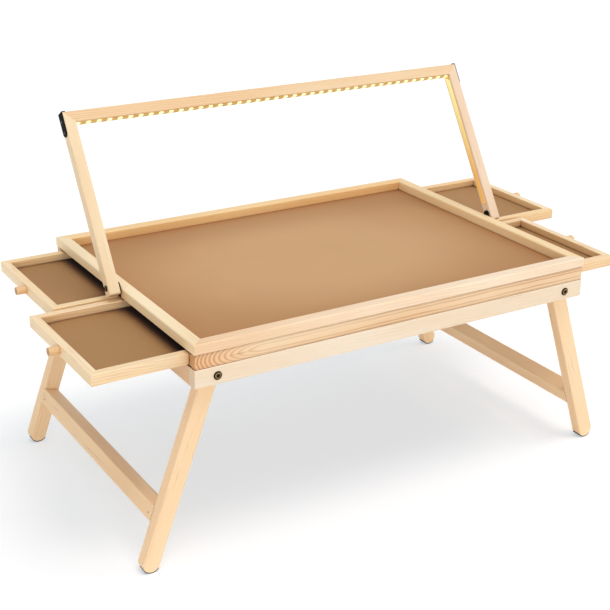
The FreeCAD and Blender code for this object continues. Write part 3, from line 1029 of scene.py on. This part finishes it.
def place_copies(tree: NodeTree, points: NodeSocket, part: Node, material: Material) -> NodeTree:
    """Put a part on every point, turned to the point's direction, as real geometry.

    Args:
        tree: The geometry tree.
        points: Output that brings the points.
        part: Node that makes the part along +Z.
        material: The finish of the copies.

    Returns:
        The same tree, which now has its output.
    """
    vectors = {"data_type": "FLOAT_VECTOR"}
    aim = add_node(tree, "GeometryNodeInputNamedAttribute", vectors, {"Name": "aim"})
    turn = add_node(tree, "FunctionNodeAlignRotationToVector", {"axis": "Z"}, {"Vector": aim})
    spread = {"Points": points, "Instance": part, "Rotation": turn}
    copies = add_node(tree, "GeometryNodeInstanceOnPoints", inputs=spread)
    real = add_node(tree, "GeometryNodeRealizeInstances", inputs={"Geometry": copies})
    painted = {"Geometry": real, "Material": material}
    finished = add_node(tree, "GeometryNodeSetMaterial", inputs=painted)
    add_node(tree, "NodeGroupOutput", inputs={"Geometry": finished})
    return tree


def grown(
    piece: Object, tree: NodeTree, sizes_mm: dict[str, float], body: str
) -> None:
    """Run a geometry tree on a piece and keep the result as its plain mesh.

    Args:
        piece: Object that holds the points.
        tree: The geometry tree.
        sizes_mm: Value of each of the tree's size inputs.
        body: The body that carries the piece.
    """
    modifier = piece.modifiers.new("copies", "NODES")
    modifier.node_group = tree
    for item in tree.interface.items_tree:
        if item.name in sizes_mm:
            modifier[item.identifier] = sizes_mm[item.name] * MM
    bpy.context.view_layer.update()
    depsgraph = bpy.context.evaluated_depsgraph_get()
    mesh = bpy.data.meshes.new_from_object(piece.evaluated_get(depsgraph))
    piece.modifiers.clear()
    piece.data = mesh
    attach(piece, body)
    LOG.info("grew %s: %d faces, on %s", piece.name, len(mesh.polygons), body)


def screw_tree(material: Material) -> NodeTree:
    """Make a tree that puts a countersunk screw head with a cross recess on every point.

    Args:
        material: The finish of the copies.

    Returns:
        The tree.
    """
    tree, given = new_geometry_tree(
        "cross_head_screws", ("Head Diameter", "Head Height", "Recess Width", "Recess Depth")
    )
    half, crown, reach, depth = (
        add_node(tree, "ShaderNodeMath", "MULTIPLY", {0: given[source], 1: factor})
        for source, factor in (
            ("Head Diameter", 0.5),
            ("Head Diameter", 0.36),
            ("Head Diameter", 0.55),
            ("Recess Depth", 2.0),
        )
    )
    cone = {"Vertices": 24, "Radius Top": crown, "Radius Bottom": half}
    cone["Depth"] = given["Head Height"]
    head = add_node(tree, "GeometryNodeMeshCone", inputs=cone)
    lift = add_node(tree, "ShaderNodeCombineXYZ", inputs={"Z": given["Head Height"]})
    cut = add_node(tree, "GeometryNodeMeshBoolean", "DIFFERENCE", {"Mesh 1": head})
    for long_way, short_way in ("XY", "YX"):
        size = {long_way: reach, short_way: given["Recess Width"], "Z": depth}
        extent = add_node(tree, "ShaderNodeCombineXYZ", inputs=size)
        bar = add_node(tree, "GeometryNodeMeshCube", inputs={"Size": extent})
        moved = {"Geometry": bar, "Translation": lift}
        raised = add_node(tree, "GeometryNodeTransform", inputs=moved)
        tree.links.new(raised.outputs["Geometry"], cut.inputs["Mesh 2"])
    return place_copies(tree, given["Geometry"], cut, material)


def nail_tree(material: Material) -> NodeTree:
    """Make a tree that puts the low domed head of a finishing nail on every point.

    Args:
        material: The finish of the copies.

    Returns:
        The tree.
    """
    tree, given = new_geometry_tree("nail_heads", ("Radius", "Height"))
    ratio = {0: given["Height"], 1: given["Radius"]}
    flatness = add_node(tree, "ShaderNodeMath", "DIVIDE", ratio)
    round_ball = {"Segments": 20, "Rings": 10, "Radius": given["Radius"]}
    ball = add_node(tree, "GeometryNodeMeshUVSphere", inputs=round_ball)
    flat = add_node(tree, "ShaderNodeCombineXYZ", inputs={"X": 1.0, "Y": 1.0, "Z": flatness})
    dome = add_node(tree, "GeometryNodeTransform", inputs={"Geometry": ball, "Scale": flat})
    return place_copies(tree, given["Geometry"], dome, material)


def lens_tree(material: Material) -> NodeTree:
    """Make a tree that puts a soft-edged lens on every point of a lamp strip.

    Args:
        material: The finish of the copies.

    Returns:
        The tree.
    """
    tree, given = new_geometry_tree("lamp_lenses", ("Length", "Width", "Height"))
    size = {"X": given["Length"], "Y": given["Width"], "Z": given["Height"]}
    extent = add_node(tree, "ShaderNodeCombineXYZ", inputs=size)
    block = add_node(tree, "GeometryNodeMeshCube", inputs={"Size": extent})
    rounding = {"Mesh": block, "Level": 2, "Edge Crease": 0.75}
    soft = add_node(tree, "GeometryNodeSubdivisionSurface", inputs=rounding)
    return place_copies(tree, given["Geometry"], soft, material)


@dataclass
class Tray:
    """The rimmed tray: four mitred rails round the play board.

    Attributes:
        front: How the front rail was cut.
        rails: The other rails.
    """

    # Its log has no sweep: the bend tint darkens the rail towards its left end as painted shade.
    front: Board = Board(
        Grain.LENGTH, (0.0, -262.0, 380.0), (0.6, 1.2), sweep_span_mm=(160.0, -560.0)
    )
    rails: tuple[WoodPiece, ...] = (
        ("tray_rear_rail", HONEY_TRAY_PINE, Board(Grain.LENGTH, (120.0, 350.0, 372.0), (-0.5, 1.0))),
        ("tray_left_rail", CREAM_TRAY_PINE, Board(Grain.DEPTH, (-470.0, 40.0, 380.0), (0.8, -1.4))),
        ("tray_right_rail", WARM_TRAY_PINE, Board(Grain.DEPTH, (395.0, -30.0, 384.0), (-0.7, 1.1))),
    )

    def finish(self) -> None:
        """Dress the rails and the play board."""
        dress_wood((("tray_front_rail", TRAY_PINE, self.front), *self.rails))
        dress("play_board", PLAY_HARDBOARD.material())
        LOG.info("finished the tray")


@dataclass
class Carcass:
    """The bay for the drawers and the lower frame that holds the legs.

    Attributes:
        front: How the front spacer rail was cut.
        rails: The other rails and dividers.
    """

    front: Board = Board(
        Grain.LENGTH, (0.0, -300.5, 401.0), sweep_mm=(37.0, 0.0), sweep_span_mm=(-295.0, -433.0)
    )
    rails: tuple[WoodPiece, ...] = (
        ("rear_spacer_rail", SPACER_PINE, Board(Grain.LENGTH, (180.0, 300.0, 370.0), (0.4, 0.5))),
        ("cross_rail", SPACER_PINE, Board(Grain.DEPTH, (30.0, 0.0, 380.0))),
        ("left_divider", SPACER_PINE, Board(Grain.LENGTH, (-200.0, 30.0, 380.0))),
        ("right_divider", SPACER_PINE, Board(Grain.LENGTH, (200.0, -28.0, 380.0))),
        ("base_front_rail", BASE_PINE, Board(Grain.LENGTH, (0.0, -250.0, 330.0), (0.4, 0.8))),
        ("base_rear_rail", BASE_PINE, Board(Grain.LENGTH, (60.0, 352.0, 340.0), (-0.4, 0.9))),
        ("base_left_rail", SHADED_BASE_PINE, Board(Grain.DEPTH, (-370.0, 0.0, 330.0), (0.5, -0.8))),
        ("base_right_rail", SHADED_BASE_PINE, Board(Grain.DEPTH, (372.0, 40.0, 334.0), (0.5, 0.8))),
    )

    def finish(self) -> None:
        """Dress the rails of the bay and the lower frame."""
        dress_wood((("front_spacer_rail", SPACER_PINE, self.front), *self.rails))
        dress("floor_panel", DRAWER_HARDBOARD.material())
        LOG.info("finished the carcass")


@dataclass
class Drawer:
    """One drawer: mitred rails, a hardboard base and a turned knob.

    Attributes:
        place: End and row of the table that it slides out of, such as left_front.
        sides: Wood of the rails other than the face.
        knob_radius_mm: Radius of the knob.
        knob_edge_mm: How far the knob's outer edge is rounded.
    """

    place: str
    sides: Pine
    knob_radius_mm: float = 8.0
    knob_edge_mm: float = 1.6

    def finish(self) -> None:
        """Dress the drawer's solids and turn its knob."""
        outward = -1.0 if self.place.startswith("left") else 1.0
        drawer = f"{self.place}_drawer"
        x, y, _ = middle(f"{drawer}_base") / MM
        # The hearts of the logs lie outside the rails, on one side or the other.
        face = Board(Grain.DEPTH, (x + 190.0 * outward, 20.0, 372.0), (0.9, 1.3))
        back = Board(Grain.DEPTH, (x - 190.0 * outward, 0.0, 374.0))
        front = Board(Grain.LENGTH, (x, y - 100.0, 370.0), (0.7, 1.1))
        rear = Board(Grain.LENGTH, (x, y + 176.0, 376.0), (-0.6, 0.9))
        dress_wood(
            (
                (f"{drawer}_face", FACE_PINE, face),
                (f"{drawer}_back", self.sides, back),
                (f"{drawer}_front_side", self.sides, front),
                (f"{drawer}_rear_side", self.sides, rear),
            )
        )
        dress(f"{drawer}_base", DRAWER_HARDBOARD.material())
        self.turn_knob(outward)
        LOG.info("finished the %s drawer", self.place)

    def turn_knob(self, outward: float) -> None:
        """Make the dowel knob with its eased outer edge.

        Args:
            outward: -1 for a drawer of the left end, 1 for one of the right.
        """
        node = f"{self.place}_drawer_knob"
        low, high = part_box(node)
        length = (high.x - low.x) / MM
        radius, edge = self.knob_radius_mm, self.knob_edge_mm
        profile = [Ring(0.0, 0.0), Ring(radius, 0.0)]
        steps = 5
        for step in range(steps + 1):
            angle = math.radians(90 * step / steps)
            inward, down = edge * (1 - math.cos(angle)), edge * (1 - math.sin(angle))
            profile.append(Ring(radius - inward, length - down))
        profile.append(Ring(0.0, length))
        start = (low + high) / 2 - X_AXIS * outward * (high.x - low.x) / 2
        board = Board(Grain.LENGTH, (start.x / MM, start.y / MM + 30.0, 380.0))
        solid = aimed(turned(profile), start, X_AXIS * outward)
        wood = KNOB_PINE.material(node, board)
        knob = shaped(f"{self.place}_knob", solid, wood, f"{self.place}_drawer", "knob_wood")
        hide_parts(node)


@dataclass
class LegFrame:
    """Two splayed legs and the brace between them.

    Attributes:
        name: left or right.
        splay_deg: Lean of the legs away from upright.
        leg_width_mm: Width of the legs and of the brace.
        nail_diameter_mm: Width of the nail heads in the brace.
        nail_height_mm: How far a nail's domed head stands out.
        nail_inset_mm: Distance of a nail from the end of the brace.
        nail_drop_mm: How far a nail is below the middle of the brace.
    """

    name: str
    splay_deg: float = 19.4
    leg_width_mm: float = 33.0
    nail_diameter_mm: float = 3.0
    nail_height_mm: float = 0.18
    nail_inset_mm: float = 13.0
    nail_drop_mm: float = 4.0

    @property
    def outward(self) -> float:
        """Return -1 for the left frame and 1 for the right."""
        return -1.0 if self.name == "left" else 1.0

    def along(self) -> Vector:
        """Return the direction from a foot up along its leg."""
        lean = math.radians(self.splay_deg)
        return Vector((-self.outward * math.sin(lean), 0.0, math.cos(lean)))

    def finish(self) -> None:
        """Dress the legs, the brace and the pads, and drive the nails."""
        upright = self.along()
        pieces = []
        for end, shift in (("front", -34.0), ("rear", 38.0)):
            node = f"{self.name}_{end}_leg"
            x, y, z = middle(node) / MM
            pith = (x - 40.0 * self.outward, y + shift, z)
            pieces.append((node, LEG_PINE, Board(upright, pith, (0.8, -1.1))))
        brace = f"{self.name}_leg_brace"
        x, y, z = middle(brace) / MM
        pith = (x + 30.0 * self.outward, y, z + 42.0)
        pieces.append((brace, LEG_PINE, Board(Grain.DEPTH, pith, (1.2, 0.9))))
        dress_wood(pieces)
        dress(f"{self.name}_foot_pads", PAD_FELT.material())
        self.drive_nails()
        LOG.info("finished the %s leg frame", self.name)

    def drive_nails(self) -> None:
        """Put the sunk nail heads into the outer face of the brace."""
        low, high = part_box(f"{self.name}_leg_brace")
        upright = self.along()
        outer = Vector((upright.z * self.outward, 0.0, -upright.x * self.outward))
        face = (low + high) / 2 + outer * self.leg_width_mm / 2 * MM
        nails = PointSet()
        for side in SIDES:
            aside = Y_AXIS * side * ((high.y - low.y) / 2 - self.nail_inset_mm * MM)
            nails.add(face + aside - upright * self.nail_drop_mm * MM, outer)
        grown(
            nails.base_object(f"{self.name}_brace_nails"),
            nail_tree(DARK_BRONZE.material()),
            {"Radius": self.nail_diameter_mm / 2, "Height": self.nail_height_mm},
            f"{self.name}_leg_frame",
        )


@dataclass(frozen=True)
class Bolt:
    """Button-head bolt with a flange and a hexagon socket.

    Attributes:
        head_mm: Radius and height of the flanged head.
        shank_mm: Radius and length of the shank below the head.
        socket_mm: Half the socket's width across flats, and its depth.
    """

    head_mm: Pair
    shank_mm: Pair
    socket_mm: Pair = (2.5, 1.6)

    def solid(self) -> BMesh:
        """Turn the bolt.

        Returns:
            The bolt, its axis on Z and the underside of its head at z = 0.
        """
        radius, height = self.head_mm
        shank, length = self.shank_mm
        flat, depth = self.socket_mm
        # Up the shank, over the flange and the steps of the head, and down into the socket.
        # Painted shade darkens the flange, the rim of the head and the socket.
        return turned(
            (
                Ring(0.0, -length, patina=1.0),
                Ring(shank - 0.6, -length, patina=1.0),
                Ring(shank, -length + 0.6, patina=0.8),
                Ring(shank, 0.0),
                Ring(radius, 0.0, patina=1.0),
                Ring(radius, height * 0.34, patina=1.0),
                Ring(radius * 0.94, height * 0.42, patina=1.0),
                Ring(radius * 0.82, height * 0.46, patina=1.0),
                Ring(radius * 0.78, height * 0.72, patina=0.6),
                Ring(radius * 0.70, height * 0.90),
                Ring(radius * 0.56, height),
                Ring(flat + 0.5, height, patina=0.5, hexagon=True),
                Ring(flat, height - 0.4, patina=0.8, hexagon=True),
                Ring(flat, height - depth, patina=1.0, hexagon=True),
                Ring(0.0, height - depth, patina=1.0),
            )
        )


@dataclass
class PivotHardware:
    """Bolts, nuts and washers that the legs and the light frame turn on.

    Attributes:
        leg_head_mm: Radius and height of a leg bolt's head.
        leg_shank_mm: Radius of a leg bolt's shank.
        light_head_mm: Radius and height of the head of a light-frame bolt.
        light_shank_mm: Radius of a light-frame bolt's shank.
        nut_and_tip_mm: Height of a leg's nut with the bolt's tip beyond it.
        screw_spread_mm: Half the distance between the screws of a hinge plate.
        screw_lift_mm: Height of those screws above the plate's foot.
    """

    leg_head_mm: Pair = (8.0, 2.4)
    leg_shank_mm: float = 4.0
    light_head_mm: Pair = (6.0, 3.0)
    light_shank_mm: float = 3.0
    nut_and_tip_mm: float = 7.0
    screw_spread_mm: float = 4.2
    screw_lift_mm: float = 4.5

    def finish(self) -> None:
        """Dress the nuts, washers and plates and make the bolts and screws."""
        dress("leg_pivot_nuts", ZINC_STEEL.material())
        dress("light_pivot_washers", WASHER_NYLON.material())
        black = BLACK_STEEL.material()
        dress("hinge_plates", black)
        self.make_leg_bolts()
        self.make_light_bolts()
        self.make_plate_screws(black)
        LOG.info("finished the pivot hardware")

    def make_leg_bolts(self) -> None:
        """Make the four bolts through the lower frame."""
        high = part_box("leg_pivot_bolts")[1]
        radius, height = self.leg_head_mm
        x, y, z = high.x - radius * MM, high.y - height * MM, high.z - radius * MM
        length = (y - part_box("leg_pivot_nuts")[1].y) / MM + self.nut_and_tip_mm
        bolt = Bolt(self.leg_head_mm, (self.leg_shank_mm, length))
        bolts = [
            aimed(bolt.solid(), Vector((x * side, y * way, z)), Y_AXIS * way)
            for side in SIDES
            for way in SIDES
        ]
        piece = shaped("leg_bolts", joined(bolts), BRONZE.material(), "table", "bronze_bolt")
        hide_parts("leg_pivot_bolts")

    def make_light_bolts(self) -> None:
        """Make the two bolts that carry the light frame."""
        low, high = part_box("light_pivot_bolts")
        face_x = high.x - self.light_head_mm[1] * MM
        length = (face_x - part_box("tray_right_rail")[1].x) / MM
        bolt = Bolt(self.light_head_mm, (self.light_shank_mm, length))
        middle_of_ear = (low + high) / 2
        bolts = [
            aimed(bolt.solid(), middle_of_ear + X_AXIS * side * face_x, X_AXIS * side)
            for side in SIDES
        ]
        piece = shaped("light_bolts", joined(bolts), BRONZE.material(), "table", "bronze_bolt")
        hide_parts("light_pivot_bolts")

    def make_plate_screws(self, material: Material) -> None:
        """Drive the countersunk screws that hold the hinge plates.

        Args:
            material: The screws' finish.
        """
        low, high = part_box("hinge_plates")
        z = low.z + self.screw_lift_mm * MM
        screws = PointSet()
        for side in SIDES:
            for way in SIDES:
                y = (low.y + high.y) / 2 + self.screw_spread_mm * MM * way
                screws.add(Vector((high.x * side, y, z)), X_AXIS * side)
        sizes_mm = {
            "Head Diameter": 5.6,
            "Head Height": 0.5,
            "Recess Width": 0.9,
            "Recess Depth": 0.45,
        }
        base = screws.base_object("hinge_plate_screws")
        grown(base, screw_tree(material), sizes_mm, "table")


@dataclass
class LightFrame:
    """The frame that leans over the tray and carries the lamp strip.

    Attributes:
        lean_deg: Lean of the frame to the rear.
        strip_width_mm: Width of the lamp strip.
        strip_thickness_mm: Thickness of the lamp strip.
        lens_mm: Length, width and height of the lens over each light.
        lens_pitch_mm: Distance between the lights, which is fitted to the bar.
        lens_margin_mm: Distance from the arm to the middle of the first light.
    """

    lean_deg: float = 32.4
    strip_width_mm: float = 10.0
    strip_thickness_mm: float = 2.0
    lens_mm: Triple = (9.0, 9.6, 1.2)
    lens_pitch_mm: float = 21.8
    lens_margin_mm: float = 27.0

    def up(self) -> Vector:
        """Return the direction up along the arms."""
        lean = math.radians(self.lean_deg)
        return Vector((0.0, math.sin(lean), math.cos(lean)))

    def finish(self) -> None:
        """Dress the arms, bar and straps and light the lamp strip."""
        up = self.up()
        pieces = []
        for name, side, pine in (("left", -1.0, ARM_PINE), ("right", 1.0, ROSE_ARM_PINE)):
            node = f"light_{name}_arm"
            x, y, z = middle(node) / MM
            pith = (x + side * 34.0, y - 22.0, z)
            pieces.append((node, pine, Board(up, pith, (0.9, -1.0))))
        x, y, z = middle("light_top_bar") / MM
        bar = Board(Grain.LENGTH, (x, y - 10.0, z + 44.0), (1.0, 0.8))
        pieces.append(("light_top_bar", BAR_PINE, bar))
        dress_wood(pieces)
        dress("corner_straps", BLACK_STEEL.material())
        dress("corner_strap_screws", BLACK_SCREW.material())
        self.light_bar()
        LOG.info("finished the light frame")

    def light_bar(self) -> None:
        """Dress the strip and put the lit lenses on it under the bar."""
        up = self.up()
        low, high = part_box("light_strips")
        pivot = middle("light_pivot_washers")
        edge = up.y * self.strip_width_mm / 2 * MM
        bar_reach = (high.z - pivot.z - edge) / up.z - self.strip_thickness_mm * MM
        half_row = high.x - self.lens_margin_mm * MM
        count = round(2 * half_row / (self.lens_pitch_mm * MM))
        pitch = 2 * half_row / count
        length, width, height = self.lens_mm
        # What lies beyond this is tape on an arm, with a tenth of a millimetre to spare.
        arm = high.x - (self.strip_thickness_mm + 0.1) * MM
        tape = TAPE.material(half_row, pitch, length * MM, arm, (low.z, high.z))
        dress("light_strips", tape)
        lenses = PointSet()
        for index in range(count + 1):
            along = X_AXIS * half_row * (2 * index / count - 1)
            lenses.add(pivot + up * bar_reach + along, -up)
        grown(
            lenses.base_object("lamp_lenses"),
            lens_tree(LENS.material()),
            {"Length": length, "Width": width, "Height": height},
            "light_frame",
        )


@dataclass(frozen=True)
class Lamp:
    """A large soft lamp far away, whose light comes from one side.

    Attributes:
        name: The lamp's name.
        towards: Direction from the table to the lamp.
        strength: Strength of its light.
        spread_deg: Angle that it takes up, which softens its shadows.
    """

    name: str
    towards: Triple
    strength: float
    spread_deg: float

    def hang(self) -> None:
        """Add the lamp to the scene."""
        lamp = bpy.data.lights.new(self.name, "SUN")
        lamp.energy = self.strength
        lamp.angle = math.radians(self.spread_deg)
        towards = Vector(self.towards).normalized()
        hung = new_object(self.name, lamp)
        hung.rotation_euler = towards.to_track_quat("Z", "Y").to_euler()
        # A sun shines the same from anywhere; this only hangs it on its own side.
        hung.location = towards * 3.0


@dataclass
class Studio:
    """White floor, soft light and the camera.

    Attributes:
        place: The camera's place in metres.
        right: Direction to the right of the picture.
        forward: Direction that the camera looks in.
        focal_px: Focal length in pixels of the square picture.
        principal_px: Where the camera's axis meets the picture.
        frame_px: Side of the picture.
        lamps: A soft lamp overhead, and fills from the front and from the right.
        sky_strength: Strength of the light from all round.
        sky_seen: Strength of the sky to the camera and in reflections.
        floor_reach: Half the side of the floor in metres.
        floor_bounce: How much light the floor sends back to the table.
        floor_paint: Colour of the floor to the camera, without its glow.
        floor_glow: Light that the floor adds to the camera alone; it evens out the warm
            light off the wood.
    """

    place: Triple = (-1.30327, -2.02787, 1.31020)
    right: Triple = (0.861193, -0.508172, 0.010358)
    forward: Triple = (0.473240, 0.794224, -0.381119)
    focal_px: float = 1267.93
    principal_px: Pair = (274.99, 299.99)
    frame_px: float = 610.0
    lamps: tuple[Lamp, ...] = (
        Lamp("overhead", (0.12, -0.27, 1.0), strength=1.02, spread_deg=28.0),
        Lamp("front_fill", (-0.65, -0.76, 0.12), strength=0.76, spread_deg=25.0),
        Lamp("right_fill", (1.0, -0.25, 0.22), strength=1.15, spread_deg=35.0),
    )
    sky_strength: float = 0.61
    sky_seen: float = 0.985
    floor_reach: float = 30.0
    floor_bounce: float = 0.95
    floor_paint: Colour = (0.687, 0.609, 0.573, 1.0)
    floor_glow: Colour = (0.38, 0.469, 0.517, 1.0)

    def build(self) -> None:
        """Make the floor, the lamps, the sky and the camera."""
        self.floor()
        self.sky()
        for lamp in self.lamps:
            lamp.hang()
        self.camera()
        bpy.context.scene.view_settings.view_transform = "Standard"
        LOG.info("built the studio")

    def floor(self) -> None:
        """Lay a wide floor that is white to the camera and still takes shadows."""
        material, tree, _ = new_material("studio_floor")
        seen = add_node(tree, "ShaderNodeLightPath").outputs["Is Camera Ray"]
        bounce = (self.floor_bounce,) * 3 + (1.0,)
        paint = lay_coats(tree, bounce, ((seen, self.floor_paint, "MIX"),))
        matt = add_node(tree, "ShaderNodeBsdfDiffuse", inputs={"Color": paint})
        shine = {"Color": self.floor_glow, "Strength": seen}
        glow = add_node(tree, "ShaderNodeEmission", inputs=shine)
        both = add_node(tree, "ShaderNodeAddShader", inputs={0: matt, 1: glow})
        add_node(tree, "ShaderNodeOutputMaterial", inputs={"Surface": both})
        solid = bmesh.new()
        bmesh.ops.create_grid(solid, x_segments=2, y_segments=2, size=self.floor_reach)
        mesh = new_mesh("studio_floor", solid)
        mesh.materials.append(material)
        floor = new_object("studio_floor", mesh)

    def sky(self) -> None:
        """Fill the world with an even soft light that is white to the camera."""
        world = bpy.data.worlds.new("studio_sky")
        world.use_nodes = True
        tree = world.node_tree
        tree.nodes.clear()
        path = add_node(tree, "ShaderNodeLightPath").outputs
        rays = {0: path["Is Camera Ray"], 1: path["Is Glossy Ray"]}
        seen = add_node(tree, "ShaderNodeMath", "MAXIMUM", rays)
        span = {"Value": seen, "To Min": self.sky_strength, "To Max": self.sky_seen}
        shine = {"Color": WHITE, "Strength": add_node(tree, "ShaderNodeMapRange", inputs=span)}
        background = add_node(tree, "ShaderNodeBackground", inputs=shine)
        add_node(tree, "ShaderNodeOutputWorld", inputs={"Surface": background})
        bpy.context.scene.world = world

    def camera(self) -> None:
        """Set up the camera."""
        data = bpy.data.cameras.new("camera")
        data.sensor_width = SENSOR_MM
        data.lens = SENSOR_MM * self.focal_px / self.frame_px
        data.shift_x = (self.frame_px / 2 - self.principal_px[0]) / self.frame_px
        data.shift_y = (self.principal_px[1] - self.frame_px / 2) / self.frame_px
        data.clip_end = 100.0
        camera = new_object("camera", data)
        right, back = Vector(self.right), -Vector(self.forward)
        turn = Matrix((right, back.cross(right), back)).transposed().to_4x4()
        camera.matrix_world = Matrix.Translation(Vector(self.place)) @ turn
        bpy.context.scene.camera = camera


def main() -> None:
    """Dress the whole table and build the studio."""
    logging.basicConfig(level=logging.INFO, format="%(name)s: %(message)s")
    Tray().finish()
    Carcass().finish()
    for end in ("left", "right"):
        Drawer(f"{end}_front", DRAWER_PINE).finish()
        Drawer(f"{end}_rear", HONEY_DRAWER_PINE).finish()
    for name in ("left", "right"):
        LegFrame(name).finish()
    PivotHardware().finish()
    LightFrame().finish()
    Studio().build()


if __name__ == "__main__":
    main()
